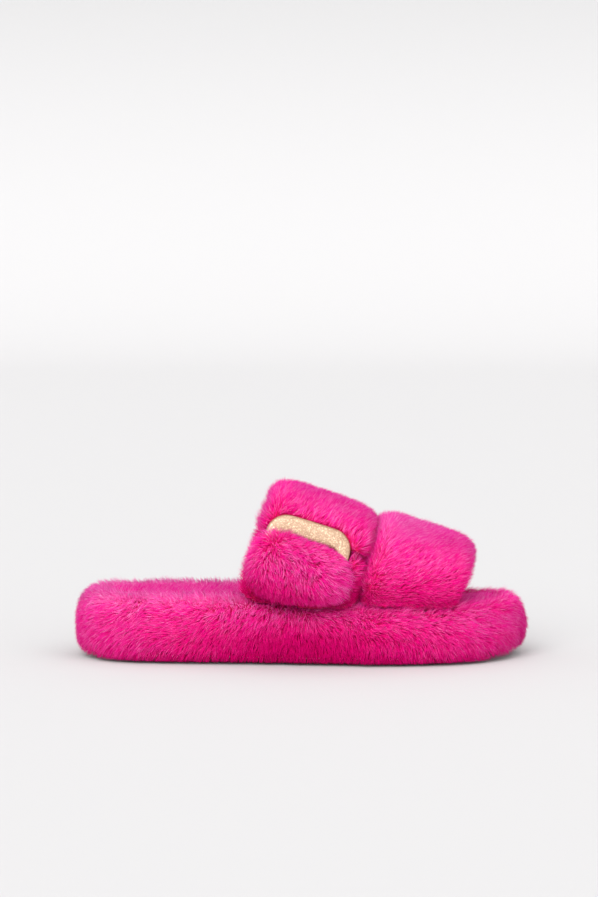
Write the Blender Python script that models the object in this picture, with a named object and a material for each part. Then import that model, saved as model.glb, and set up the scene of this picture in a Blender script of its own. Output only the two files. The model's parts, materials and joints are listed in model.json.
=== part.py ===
"""Fluffy two-strap house slide for a right foot, as an assembly of separate pieces.

Metres, +Z up, +X towards the toe, +Y towards the inner (medial) side of the foot.
A wrapped platform sole carries a broad front strap and an instep strap.  The instep
strap runs under the top bar of a rounded buckle frame on the outer (lateral) side and
ends in a short puffy tab, which a patch of hook and loop tape holds down.
"""

import math

import bmesh
import bpy
from mathutils import Matrix, Vector

MM = 0.001
GAP = 0.3 * MM  # room left between pieces that touch

# The sole is drawn about its own middle line, then the slipper is moved by this much so
# that the origin is under the middle of its bounding box.
MOVE_TO_ORIGIN = (0.0, 8.29 * MM, 0.0)

# Sole outline seen from above, without pile: heel, outer side, toe, inner side.
HEEL_TIP = (-127.0, 0.0)
TOE_TIP = (127.0, 7.0)
OUTER_SIDE = [(-119, -19), (-98, -31), (-62, -35), (-22, -38), (18, -43), (55, -46), (90, -40), (115, -22)]
INNER_SIDE = [(-119, 19), (-98, 30), (-62, 33), (-22, 33), (18, 38), (55, 44), (90, 42), (117, 29)]
SOLE_STEPS = 30  # segments along each side of the outline

# Sole layers at the heel; everything above the midsole is lower at the ball.
OUTSOLE_T = 3.0 * MM
MIDSOLE_TOP = 24.6 * MM
BOARD_T = 1.5 * MM
FOOTBED_FOAM_T = 4.0 * MM
FOOTBED_PILE_T = 7.0 * MM
RIM_OVER_FOOTBED = 1.5 * MM
BALL_DROP = 6.5 * MM
DROP_FROM_X = -37 * MM
DROP_TO_X = 50 * MM

# The sole rests flat between these two and curls up a little past them.
FLAT_FROM_X = -85 * MM
FLAT_TO_X = 75 * MM
HEEL_CURL = 2.0 * MM
TOE_CURL = 3.5 * MM

# Side wrap of pile fabric.
WRAP_T = 7.5 * MM
WRAP_CLEARANCE = 0.5 * MM
WRAP_ROLL = 9.0 * MM  # how far it rolls in over the footbed
WRAP_GROUND_GAP = 1.3 * MM

# Strap build-up, counted outwards from the lining's inner face.
LINING_T = 1.6 * MM
STRAP_FOAM_T = 3.6 * MM
STRAP_T = 12.5 * MM  # lining, foam and pile together
STRAP_EDGE_T = 5.0 * MM  # pile fabric turned round each edge
STRAP_EDGE_ROUND = 6.5 * MM
FOOT_THIN = 0.25  # share of the pile fabric's thickness left where a strap meets the sole
FOOT_Q = 0.06  # arch share over which it comes back to full thickness
TAPE_Z = 9.0 * MM  # the lining runs down the midsole's side to here
STRAP_INSET = 6.5 * MM  # lining's inner face, inside the sole outline
ARCH_POWER = 2.9  # 2 is an ellipse, more is squarer

# Straps: x of each edge at the sole and at the top, and the lining's height there.
INSTEP = {
    "base_x": (-36 * MM, 31.5 * MM),
    "top_x": (-18 * MM, 40 * MM),
    "top_z": (93.0 * MM, 71.5 * MM),
    "bulge": 9.0 * MM,
}
FRONT = {
    "base_x": (33.5 * MM, 87 * MM),
    "top_x": (45 * MM, 98.5 * MM),
    "top_z": (72.5 * MM, 54.0 * MM),
    "bulge": 6.0 * MM,
}

# Where the instep strap's two ends meet behind the buckle, as a share of the arch.
SPLIT_Q = 0.20

# Middle of the buckle frame, and how its face is turned from facing straight outwards.
BUCKLE_PLACE = (2.5 * MM, -43.5 * MM, 69.0 * MM)
BUCKLE_LEAN = math.radians(16)  # top edge towards the foot
BUCKLE_DIP = math.radians(17)  # toe end downwards
BUCKLE_SPLAY = math.radians(4)  # toe end outwards

# Buckle frame: along the foot, up the strap, and its bars.
FRAME_U = 52 * MM
FRAME_V = 34 * MM
TOP_BAR = 12 * MM
BOTTOM_BAR = 6 * MM
SIDE_BAR = 7 * MM
FRAME_T = 4 * MM
FRAME_CORNER = 13 * MM
WINDOW_CORNER = 5 * MM
LOOP_T = 1.2 * MM
LOOP_WIDTH = 28 * MM

# Tab: hangs from the window over the bottom bar.
TAB_U = 59 * MM
TAB_TOP_V = 4.5 * MM
TAB_END_V = -34 * MM
TAB_FACE_W = 4.4 * MM  # inner face of the tab above the frame's middle plane
TAB_LINING_T = 1.4 * MM
TAB_FOAM_T = 5.0 * MM
TAB_T = 15.5 * MM
TAB_EDGE_T = 6 * MM
TAB_BEND_V = -18 * MM  # below this the tab curls in towards the sole
TAB_BEND_RADIUS = 40 * MM
NECK_U = 32 * MM
NECK_V = (-6.5 * MM, 3.5 * MM)

# Hook and loop tape: the hook side is on the tab, the loop side on the anchor.
PAD_U = 30 * MM
PAD_T = 1.6 * MM
HOOK_V = (-31.5 * MM, -23.5 * MM)
LOOP_Q = (0.002, 0.034)

# Tread: rows of shallow grooves under the heel and the ball.
GROOVE_WIDTH = 2.4 * MM
GROOVE_DEPTH = 1.2 * MM
GROOVE_PITCH = 8.0 * MM
GROOVE_MARGIN = 9.0 * MM
TREAD_STRETCHES = [(-78 * MM, -38 * MM), (14 * MM, 70 * MM)]

PINK = (0.83, 0.003, 0.24)
DEEP_PINK = (0.45, 0.002, 0.11)


# ---------------------------------------------------------------- helpers

def clear_scene():
    for thing in list(bpy.data.objects):
        bpy.data.objects.remove(thing, do_unlink=True)


def material(name, colour, roughness, metallic=0.0):
    made = bpy.data.materials.get(name)
    if made is None:
        made = bpy.data.materials.new(name)
        made.use_nodes = True
        shader = made.node_tree.nodes["Principled BSDF"]
        shader.inputs["Base Color"].default_value = (*colour, 1.0)
        shader.inputs["Roughness"].default_value = roughness
        shader.inputs["Metallic"].default_value = metallic
        made.diffuse_color = (*colour, 1.0)
    return made


def add_object(name, points, faces, look, parent=None, smooth=True):
    """One closed mesh object with its faces turned outwards."""
    mesh = bpy.data.meshes.new(name)
    shape = bmesh.new()
    corners = [shape.verts.new(point + Vector(MOVE_TO_ORIGIN)) for point in points]
    for face in faces:
        shape.faces.new([corners[index] for index in face])
    bmesh.ops.triangulate(shape, faces=shape.faces[:])
    bmesh.ops.recalc_face_normals(shape, faces=shape.faces[:])
    shape.to_mesh(mesh)
    shape.free()
    mesh.materials.append(look)
    if smooth:
        mesh.shade_smooth()
        mesh.set_sharp_from_angle(angle=math.radians(40))
    made = bpy.data.objects.new(name, mesh)
    bpy.context.scene.collection.objects.link(made)
    if parent is not None:
        made.parent = parent
        made.matrix_parent_inverse = Matrix.Translation(parent.location).inverted()
    return made


def cut(target, cutter):
    """Boolean difference that stays on the object as a modifier."""
    cutter.hide_render = True
    cutter.display_type = "WIRE"
    change = target.modifiers.new("cut_" + cutter.name, "BOOLEAN")
    change.operation = "DIFFERENCE"
    change.solver = "EXACT"
    change.object = cutter


def rings_to_faces(ring_count, ring_size, closed_loop):
    """Quads that join each ring of points to the next one."""
    faces = []
    steps = ring_count if closed_loop else ring_count - 1
    for ring in range(steps):
        following = (ring + 1) % ring_count
        for index in range(ring_size):
            ahead = (index + 1) % ring_size
            faces.append((ring * ring_size + index, ring * ring_size + ahead,
                          following * ring_size + ahead, following * ring_size + index))
    return faces


def smoothstep(value, low, high):
    share = min(1.0, max(0.0, (value - low) / (high - low)))
    return share * share * (3 - 2 * share)


def mix(first, second, share):
    return first + (second - first) * share


def curve_through(points, count):
    """Closed smooth curve through the points, with count samples for each span."""
    samples = []
    total = len(points)
    for index in range(total):
        before, start, end, after = (Vector(points[(index + step) % total]) for step in (-1, 0, 1, 2))
        for step in range(count):
            t = step / count
            samples.append(0.5 * (2 * start + (end - before) * t
                                  + (2 * before - 5 * start + 4 * end - after) * t ** 2
                                  + (3 * start - before - 3 * end + after) * t ** 3))
    return samples


def resample(points, steps):
    """The same open line with evenly spaced points."""
    lengths = [0.0]
    for first, second in zip(points, points[1:]):
        lengths.append(lengths[-1] + (second - first).length)
    evenly = []
    for step in range(steps + 1):
        wanted = lengths[-1] * step / steps
        index = next((i for i in range(1, len(lengths)) if lengths[i] >= wanted - 1e-12), len(lengths) - 1)
        span = lengths[index] - lengths[index - 1]
        share = (wanted - lengths[index - 1]) / span if span else 0.0
        evenly.append(points[index - 1].lerp(points[index], share))
    return evenly


# ---------------------------------------------------------------- sole shape

def sole_outline():
    """Points round the sole: heel tip, outer side, toe tip, then the inner side back."""
    spans = 12
    around = [HEEL_TIP] + OUTER_SIDE + [TOE_TIP] + INNER_SIDE[::-1]
    fine = curve_through([(x * MM, y * MM) for x, y in around], spans)
    toe = (len(OUTER_SIDE) + 1) * spans
    outer = resample(fine[:toe + 1], SOLE_STEPS)
    inner = resample(fine[toe:] + fine[:1], SOLE_STEPS)
    return outer[:-1] + inner[:-1]


OUTLINE = sole_outline()


def offset_outline(distance):
    """The outline moved outwards, or inwards where distance is negative."""
    total = len(OUTLINE)
    moved = []
    for index, point in enumerate(OUTLINE):
        along = OUTLINE[(index + 1) % total] - OUTLINE[index - 1]
        outwards = Vector((along.y, -along.x)).normalized()
        moved.append(point + outwards * distance)
    return moved


def side_y(x, outer, inset):
    """y of the outline's outer or inner side at x, moved in by inset."""
    moved = offset_outline(-inset)
    half = moved[:SOLE_STEPS + 1] if outer else moved[SOLE_STEPS:] + moved[:1]
    for first, second in zip(half, half[1:]):
        low, high = min(first.x, second.x), max(first.x, second.x)
        if low <= x <= high and high > low:
            return mix(first.y, second.y, (x - first.x) / (second.x - first.x))
    raise ValueError("x is past the end of the sole")


def curl(x):
    """How far the sole has curled up off the floor at x."""
    if x > FLAT_TO_X:
        return TOE_CURL * ((x - FLAT_TO_X) / (TOE_TIP[0] * MM - FLAT_TO_X)) ** 2
    if x < FLAT_FROM_X:
        return HEEL_CURL * ((FLAT_FROM_X - x) / (FLAT_FROM_X - HEEL_TIP[0] * MM)) ** 2
    return 0.0


def lower_level(height):
    """Height function for the layers under the midsole's top."""
    return lambda x: height + curl(x)


def upper_level(height):
    """Height function for the midsole's top and the layers above it."""
    return lambda x: height + curl(x) - BALL_DROP * smoothstep(x, DROP_FROM_X, DROP_TO_X)


BOARD_Z = MIDSOLE_TOP + GAP
FOAM_Z = BOARD_Z + BOARD_T + GAP
PILE_Z = FOAM_Z + FOOTBED_FOAM_T + GAP
FOOTBED_TOP = PILE_Z + FOOTBED_PILE_T
RIM_TOP = FOOTBED_TOP + RIM_OVER_FOOTBED


def ring_points(offset, level):
    return [Vector((p.x, p.y, level(p.x))) for p in offset_outline(offset)]


def add_sole_layer(name, rings, look):
    """A closed layer from rings of (offset, level), bottom to top, with flat ends."""
    points = [point for offset, level in rings for point in ring_points(offset, level)]
    size = 2 * SOLE_STEPS
    faces = rings_to_faces(len(rings), size, False)
    for first in (0, (len(rings) - 1) * size):
        for index in range(SOLE_STEPS):
            corners = [index, index + 1, size - index - 1, (size - index) % size]
            faces.append([first + corner for corner in dict.fromkeys(corners)])
    return add_object(name, points, faces, look)


def add_grooves():
    """One cutter holding every tread groove; each is a bar across the sole."""
    points, faces = [], []
    for start, end in TREAD_STRETCHES:
        count = int((end - start) / GROOVE_PITCH) + 1
        for index in range(count):
            x = start + index * GROOVE_PITCH
            outer = side_y(x, True, GROOVE_MARGIN)
            inner = side_y(x, False, GROOVE_MARGIN)
            first = len(points)
            for z in (-5 * MM, GROOVE_DEPTH):
                for dx, y in ((0, outer), (GROOVE_WIDTH, outer), (GROOVE_WIDTH, inner), (0, inner)):
                    points.append(Vector((x + dx, y, z)))
            for quad in ((0, 3, 2, 1), (4, 5, 6, 7), (0, 1, 5, 4), (1, 2, 6, 5), (2, 3, 7, 6), (3, 0, 4, 7)):
                faces.append([first + corner for corner in quad])
    return add_object("tread_grooves", points, faces, material("cutter", (0.5, 0.5, 0.5), 0.5), smooth=False)


def add_sole(strap_slots):
    rubber = material("outsole rubber", (0.05, 0.045, 0.045), 0.75)
    eva = material("midsole foam", (0.80, 0.78, 0.75), 0.85)
    board = material("insole board", (0.42, 0.31, 0.20), 0.9)
    foam = material("padding foam", (0.86, 0.82, 0.66), 0.95)
    fur = material("pink pile", PINK, 0.9)

    edge = 1.0 * MM
    outsole = add_sole_layer("outsole", [
        (-1.2 * MM - edge, lower_level(0.0)),
        (-1.2 * MM, lower_level(edge)),
        (-1.2 * MM, lower_level(OUTSOLE_T)),
    ], rubber)
    cut(outsole, add_grooves())

    midsole = add_sole_layer("midsole", [
        (0.0, lower_level(OUTSOLE_T + GAP)),
        (0.0, upper_level(MIDSOLE_TOP)),
    ], eva)
    insole = add_sole_layer("insole_board", [
        (0.0, upper_level(BOARD_Z)),
        (0.0, upper_level(BOARD_Z + BOARD_T)),
    ], board)
    padding = add_sole_layer("footbed_foam", [
        (0.0, upper_level(FOAM_Z)),
        (0.0, upper_level(FOAM_Z + FOOTBED_FOAM_T)),
    ], foam)

    round_edge = 2.5 * MM
    inset = -WRAP_ROLL - GAP
    add_sole_layer("footbed_fur", [
        (inset, upper_level(PILE_Z)),
        (inset, upper_level(FOOTBED_TOP - round_edge)),
        (inset - 0.3 * round_edge, upper_level(FOOTBED_TOP - 0.3 * round_edge)),
        (inset - round_edge, upper_level(FOOTBED_TOP)),
    ], fur)
    wrap = add_side_wrap("side_wrap_fur", fur)
    for piece in (midsole, insole, padding, wrap):
        cut(piece, strap_slots)


def add_side_wrap(name, look, grown=0.0):
    """Pile fabric round the sole's side, rolled in over the edge of the footbed."""
    inner = WRAP_CLEARANCE
    outer = WRAP_CLEARANCE + WRAP_T + grown
    section = [
        (inner, lower_level(WRAP_GROUND_GAP)),
        (inner + 0.45 * WRAP_T, lower_level(WRAP_GROUND_GAP + 0.4 * MM)),
        (inner + 0.85 * WRAP_T, lower_level(5.0 * MM)),
        (outer, lower_level(11.0 * MM)),
        (outer + 0.2 * MM, lower_level(18.0 * MM)),
        (outer - 0.8 * MM, upper_level(RIM_TOP - 12.5 * MM)),
        (outer - 2.6 * MM, upper_level(RIM_TOP - 6.5 * MM)),
        (outer - 5.4 * MM, upper_level(RIM_TOP - 2.6 * MM)),
        (outer - 9.0 * MM, upper_level(RIM_TOP - 0.6 * MM + grown)),
        (outer - 12.5 * MM, upper_level(RIM_TOP + grown)),
        (-WRAP_ROLL + 1.6 * MM - grown, upper_level(RIM_TOP - 0.5 * MM + grown)),
        (-WRAP_ROLL - grown, upper_level(RIM_TOP - 2.0 * MM)),
        (-WRAP_ROLL - grown, upper_level(PILE_Z)),
        (inner, upper_level(PILE_Z)),
    ]
    points = [point for offset, level in section for point in ring_points(offset, level)]
    faces = rings_to_faces(len(section), 2 * SOLE_STEPS, True)
    return add_object(name, points, faces, look)


# ---------------------------------------------------------------- straps

def strap_base_z(x):
    return upper_level(RIM_TOP)(x) + 1.0 * MM


def strap_point(strap, q, t):
    """Lining's inner face: q runs 0 to 1 over the arch, t -1 to 1 from heel to toe edge.

    Below 0 and above 1 the strap runs straight down the sole's side, 100 mm for 1.
    """
    share = (t + 1) / 2
    base_x = mix(*strap["base_x"], share)
    outer = side_y(base_x, True, STRAP_INSET)
    inner = side_y(base_x, False, STRAP_INSET)
    base_z = strap_base_z(base_x)
    if q <= 0:
        return Vector((base_x, outer, base_z + q * 100 * MM))
    if q >= 1:
        return Vector((base_x, inner, base_z - (q - 1) * 100 * MM))
    angle = q * math.pi
    rise = math.sin(angle) ** (2 / ARCH_POWER)
    sideways = math.copysign(abs(math.cos(angle)) ** (2 / ARCH_POWER), -math.cos(angle))
    half = (inner - outer) / 2 + strap["bulge"] * math.sin(angle) ** 1.2
    return Vector((
        mix(base_x, mix(*strap["top_x"], share), math.sin(angle) ** 0.75),
        (inner + outer) / 2 + half * sideways,
        mix(base_z, mix(*strap["top_z"], share), rise),
    ))


def strap_axes(strap, q, t):
    """Directions on the strap's face: up the outer side, towards the toe, and outwards."""
    step = 0.004
    upwards = strap_point(strap, q + step, t) - strap_point(strap, q - step, t)
    forwards = strap_point(strap, q, min(1, t + 0.02)) - strap_point(strap, q, max(-1, t - 0.02))
    outwards = forwards.cross(upwards).normalized()
    return upwards.normalized(), forwards.normalized(), outwards


def strap_at(strap, q, across, height):
    """Point at a distance across from the strap's middle and a height off the lining."""
    width = (strap_point(strap, q, 1) - strap_point(strap, q, -1)).length
    t = max(-1.0, min(1.0, 2 * across(width) / width))
    return strap_point(strap, q, t) + strap_axes(strap, q, t)[2] * height


def across_share(share, margin=0.0):
    """Across position as a share of the half width, kept a margin short of the edge."""
    return lambda width: share * (width / 2 - margin)


def even_steps(first, last, count):
    return [mix(first, last, index / (count - 1)) for index in range(count)]


def foot_height(q, height):
    """Height over the foam, less where the strap runs down into the sole."""
    if height <= STACK_T:
        return height
    share = mix(FOOT_THIN, 1.0, smoothstep(min(q, 1 - q), 0.0, FOOT_Q))
    return STACK_T + (height - STACK_T) * share


def add_strap_layer(name, strap, stations, section, look, thin_feet=False):
    """A closed band: the section of (across, height) swept along the strap."""
    points = [strap_at(strap, q, across, foot_height(q, height) if thin_feet else height)
              for q in stations for across, height in section]
    size = len(section)
    faces = rings_to_faces(len(stations), size, False)
    faces.append(list(range(size)))
    faces.append([(len(stations) - 1) * size + index for index in range(size)])
    return add_object(name, points, faces, look)


def plate_section(margin, low, high):
    """Flat band between two heights, its sides a margin short of the strap's edges."""
    shares = even_steps(-1, 1, 9)
    section = [(across_share(share, margin), low) for share in shares]
    return section + [(across_share(share, margin), high) for share in reversed(shares)]


def fur_section(total, hollow):
    """Pile fabric over the top and round both edges, open on the lining's side."""
    rounding = STRAP_EDGE_ROUND
    section = []
    for step in range(5):
        angle = math.pi / 2 * step / 4
        margin = rounding * (1 - math.cos(angle))
        section.append((across_share(-1, margin), total - rounding + rounding * math.sin(angle)))
    section = [(across_share(-1, 1.2 * MM), 0.0), (across_share(-1), 2.5 * MM)] + section
    section += [(across_share(share), total + 0.4 * MM) for share in (-0.5, 0)]
    mirrored = [(lambda width, a=across: -a(width), height) for across, height in section[:-1]]
    outside = section + mirrored[::-1]
    inside = [(across_share(share, STRAP_EDGE_T), hollow) for share in even_steps(1, -1, 9)]
    return outside + [(inside[0][0], 0.0)] + inside + [(inside[-1][0], 0.0)]


STACK_T = LINING_T + GAP + STRAP_FOAM_T + GAP  # where the pile fabric starts
ARCH_START_Q = 0.012
FUR_START_Q = -0.07


def tape_q(strap, side):
    """q of the hidden end that stops at TAPE_Z."""
    base = strap_base_z(mix(*strap["base_x"], 0.5))
    length = (base - TAPE_Z) / (100 * MM)
    return -length if side == "outer" else 1 + length


def add_front_strap(looks, wrap_room):
    arch = even_steps(ARCH_START_Q, 1 - ARCH_START_Q, 27)
    tape = [tape_q(FRONT, "outer"), -0.001] + arch + [1.001, tape_q(FRONT, "inner")]
    add_strap_layer("front_strap_lining", FRONT, tape,
                    plate_section(STRAP_EDGE_T + GAP, 0.0, LINING_T), looks["lining"])
    add_strap_layer("front_strap_foam", FRONT, arch,
                    plate_section(STRAP_EDGE_T + GAP, LINING_T + GAP, LINING_T + GAP + STRAP_FOAM_T),
                    looks["foam"])
    fur = add_strap_layer("front_strap_fur", FRONT, [FUR_START_Q, -0.001] + arch + [1.001, 1 - FUR_START_Q],
                          fur_section(STRAP_T, STACK_T), looks["fur"], thin_feet=True)
    cut(fur, wrap_room)


def add_strap_slots():
    """Cutter for the four slots that the strap linings run down into the sole."""
    made = []
    section = plate_section(STRAP_EDGE_T - 0.2 * MM, -GAP, LINING_T + GAP)
    for strap, name in ((FRONT, "front"), (INSTEP, "instep")):
        for side, top in (("outer", 0.11), ("inner", 0.89)):
            deep = 0.006 if side == "inner" else -0.006
            ends = [tape_q(strap, side) + deep, top]
            stations = even_steps(ends[0], -0.001 if side == "outer" else 1.001, 3)
            stations += even_steps(0.004 if side == "outer" else 0.996, top, 4)
            made.append(add_strap_layer(name + "_slot_" + side, strap, stations, section,
                                        material("cutter", (0.5, 0.5, 0.5), 0.5)))
    whole = made[0]
    for extra in made[1:]:
        shape = bmesh.new()
        shape.from_mesh(whole.data)
        shape.from_mesh(extra.data)
        shape.to_mesh(whole.data)
        shape.free()
        bpy.data.objects.remove(extra, do_unlink=True)
    whole.name = "strap_slots"
    return whole


# ---------------------------------------------------------------- buckle

def buckle_axes():
    """Middle of the frame and its directions: along the foot, up the strap, outwards."""
    turn = (Matrix.Rotation(-BUCKLE_SPLAY, 3, "Z") @ Matrix.Rotation(BUCKLE_DIP, 3, "Y")
            @ Matrix.Rotation(-BUCKLE_LEAN, 3, "X"))
    return Vector(BUCKLE_PLACE), turn @ Vector((1, 0, 0)), turn @ Vector((0, 0, 1)), turn @ Vector((0, -1, 0))


BUCKLE_MIDDLE, BUCKLE_U, BUCKLE_V, BUCKLE_W = buckle_axes()


def on_buckle(u, v, w):
    return BUCKLE_MIDDLE + BUCKLE_U * u + BUCKLE_V * v + BUCKLE_W * w


def on_tab(u, v, w):
    """Like on_buckle, with the part below the bottom bar curled in to the sole."""
    if v > TAB_BEND_V:
        return on_buckle(u, v, w)
    angle = (TAB_BEND_V - v) / TAB_BEND_RADIUS
    reach = TAB_BEND_RADIUS + w - TAB_FACE_W
    return on_buckle(u, TAB_BEND_V - reach * math.sin(angle),
                     TAB_FACE_W - TAB_BEND_RADIUS + reach * math.cos(angle))


def rounded_rectangle(low_u, high_u, low_v, high_v, radius, steps=7):
    corners = ((high_u - radius, high_v - radius, 0), (low_u + radius, high_v - radius, 1),
               (low_u + radius, low_v + radius, 2), (high_u - radius, low_v + radius, 3))
    points = []
    for centre_u, centre_v, quarter in corners:
        for step in range(steps):
            angle = math.pi / 2 * (quarter + step / (steps - 1))
            points.append((centre_u + radius * math.cos(angle), centre_v + radius * math.sin(angle)))
    return points


def add_plate(name, outline, levels, look, parent, place):
    """Rounded plate from rings of (inset share, height), closed at both ends."""
    middle_u = sum(u for u, v in outline) / len(outline)
    middle_v = sum(v for u, v in outline) / len(outline)
    points = []
    for inset, height in levels:
        for u, v in outline:
            away = Vector((u - middle_u, v - middle_v))
            scale = max(0.0, 1 - inset / away.length)
            points.append(place(middle_u + away.x * scale, middle_v + away.y * scale, height))
    size = len(outline)
    faces = rings_to_faces(len(levels), size, False)
    faces.append(list(range(size)))
    faces.append([(len(levels) - 1) * size + index for index in range(size)])
    return add_object(name, points, faces, look, parent)


def add_buckle(looks, pivot):
    outer = rounded_rectangle(-FRAME_U / 2, FRAME_U / 2, -FRAME_V / 2, FRAME_V / 2, FRAME_CORNER)
    window = rounded_rectangle(-FRAME_U / 2 + SIDE_BAR, FRAME_U / 2 - SIDE_BAR,
                               -FRAME_V / 2 + BOTTOM_BAR, FRAME_V / 2 - TOP_BAR, WINDOW_CORNER)
    half, soft = FRAME_T / 2, 0.9 * MM
    section = [(0.0, -half + soft), (0.10, -half), (0.90, -half), (1.0, -half + soft),
               (1.0, half - soft), (0.90, half), (0.10, half), (0.0, half - soft)]
    points = []
    for (outer_u, outer_v), (window_u, window_v) in zip(outer, window):
        points += [on_buckle(mix(window_u, outer_u, share), mix(window_v, outer_v, share), w)
                   for share, w in section]
    faces = rings_to_faces(len(outer), len(section), True)
    add_object("buckle_frame", points, faces, looks["gold"], pivot)


def add_buckle_loop(looks):
    """Webbing loop round the bottom bar, with a tail that is sewn to the anchor."""
    bar_v = -FRAME_V / 2 + BOTTOM_BAR / 2
    near = 0.45 * MM
    half_v, half_w = BOTTOM_BAR / 2 + near, FRAME_T / 2 + near
    inside = rounded_rectangle(bar_v - half_v, bar_v + half_v, -half_w, half_w, 1.2 * MM, 4)
    outside = rounded_rectangle(bar_v - half_v - LOOP_T, bar_v + half_v + LOOP_T,
                                -half_w - LOOP_T, half_w + LOOP_T, 1.2 * MM + LOOP_T, 4)
    size = len(inside)
    points = []
    for u, loop in ((-LOOP_WIDTH / 2, outside), (LOOP_WIDTH / 2, outside),
                    (LOOP_WIDTH / 2, inside), (-LOOP_WIDTH / 2, inside)):
        points += [on_buckle(u, v, w) for v, w in loop]
    faces = rings_to_faces(4, size, True)
    add_object("buckle_loop", points, faces, looks["webbing"])


def add_buckle_clearance():
    """Cutter that keeps the strap's pile clear of the frame, the loop and the pads."""
    look = material("cutter", (0.5, 0.5, 0.5), 0.5)
    room = 0.6 * MM
    outline = rounded_rectangle(-FRAME_U / 2 - room, FRAME_U / 2 + room, -FRAME_V / 2 - room,
                                FRAME_V / 2 + room, FRAME_CORNER + room)
    frame_room = add_plate("frame_room", outline, [(0.0, -FRAME_T / 2 - 1.0 * MM), (0.0, 40 * MM)],
                           look, None, on_buckle)
    bar_v = -FRAME_V / 2 + BOTTOM_BAR / 2
    reach = BOTTOM_BAR / 2 + LOOP_T + 1.0 * MM
    loop_outline = rounded_rectangle(-LOOP_WIDTH / 2 - room, LOOP_WIDTH / 2 + room,
                                     bar_v - reach, bar_v + reach, 1.5 * MM, 3)
    loop_room = add_plate("loop_room", loop_outline,
                          [(0.0, -FRAME_T / 2 - LOOP_T - 0.9 * MM), (0.0, 41 * MM)],
                          look, None, on_buckle)
    return frame_room, loop_room


def add_tab(looks, pivot):
    """Free end of the strap: lining with its neck, foam, pile fabric and hook pad."""
    face = TAB_FACE_W
    add_bent_plate("tab_lining", TAB_EDGE_T + GAP, face, face + TAB_LINING_T, looks["lining"], pivot)
    add_bent_plate("tab_foam", TAB_EDGE_T + GAP, face + TAB_LINING_T + GAP,
                   face + TAB_LINING_T + GAP + TAB_FOAM_T, looks["foam"], pivot)
    hollow = face + TAB_LINING_T + GAP + TAB_FOAM_T + GAP
    add_tab_fur(looks["fur"], hollow, pivot)
    half_neck = NECK_U / 2
    add_box("tab_neck", (-half_neck, half_neck), NECK_V, (0.0, face - GAP),
            looks["lining"], pivot, on_buckle)
    hook_back = face - GAP
    add_bent_box("hook_pad", PAD_U / 2, HOOK_V, (hook_back - PAD_T, hook_back), looks["tape"], pivot)


def tab_rows(inset, rows):
    """Outline points of the tab paired left and right, from its end up to its top."""
    low, high = TAB_END_V + inset, TAB_TOP_V - inset
    corner = 13 * MM - 0.7 * inset
    half = TAB_U / 2 - inset
    pairs = []
    for row in range(rows):
        angle = math.pi * row / (rows - 1)
        v = (low + high) / 2 - (high - low) / 2 * math.cos(angle)
        near_end = min(v - low, high - v)
        narrower = 0.0
        if near_end < corner:
            narrower = corner - math.sqrt(max(0.0, corner ** 2 - (corner - near_end) ** 2))
        pairs.append((v, half - narrower))
    return pairs


def tab_ring(inset, height, rows):
    pairs = tab_rows(inset, rows)
    left = [on_tab(-half, v, height) for v, half in pairs]
    right = [on_tab(half, v, height) for v, half in reversed(pairs)]
    return left + right


def cap_faces(first, rows):
    """Strips across a ring made by tab_ring."""
    size = 2 * rows
    return [[first + row, first + row + 1, first + size - row - 2, first + size - row - 1]
            for row in range(rows - 1)]


def add_bent_plate(name, inset, low, high, look, parent, rows=9):
    points = tab_ring(inset, low, rows) + tab_ring(inset, high, rows)
    faces = rings_to_faces(2, 2 * rows, False) + cap_faces(0, rows) + cap_faces(2 * rows, rows)
    return add_object(name, points, faces, look, parent)


def add_tab_fur(look, hollow, pivot, rows=9):
    """Domed shell of pile fabric, open on the inner face over the lining and foam."""
    face, top = TAB_FACE_W, TAB_FACE_W + TAB_T
    levels = [
        (TAB_EDGE_T, hollow), (TAB_EDGE_T, face), (1.0 * MM, face + 0.3 * MM), (0.0, face + 3.0 * MM),
        (0.0, face + 6.0 * MM), (1.5 * MM, face + 9.5 * MM), (5.0 * MM, face + 13.0 * MM),
        (10.0 * MM, face + 14.8 * MM), (16.0 * MM, top),
    ]
    size = 2 * rows
    points = [point for inset, height in levels for point in tab_ring(inset, height, rows)]
    faces = rings_to_faces(len(levels), size, False)
    faces += cap_faces(0, rows) + cap_faces((len(levels) - 1) * size, rows)
    return add_object("tab_fur", points, faces, look, pivot)


def add_bent_box(name, half_u, v_range, w_range, look, parent, rows=4):
    """Rectangular plate that follows the tab's curl."""
    points = []
    for w in w_range:
        rows_v = even_steps(*v_range, rows)
        points += [on_tab(-half_u, v, w) for v in rows_v] + [on_tab(half_u, v, w) for v in reversed(rows_v)]
    faces = rings_to_faces(2, 2 * rows, False) + cap_faces(0, rows) + cap_faces(2 * rows, rows)
    return add_object(name, points, faces, look, parent)


def add_box(name, u_range, v_range, w_range, look, parent, place):
    points = [place(u, v, w) for w in w_range for v in v_range for u in u_range]
    quads = ((0, 1, 3, 2), (4, 6, 7, 5), (0, 4, 5, 1), (2, 3, 7, 6), (0, 2, 6, 4), (1, 5, 7, 3))
    return add_object(name, points, quads, look, parent, smooth=False)


def add_pivot(name, place):
    pivot = bpy.data.objects.new(name, None)
    pivot.location = place + Vector(MOVE_TO_ORIGIN)
    bpy.context.scene.collection.objects.link(pivot)
    return pivot


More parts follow.
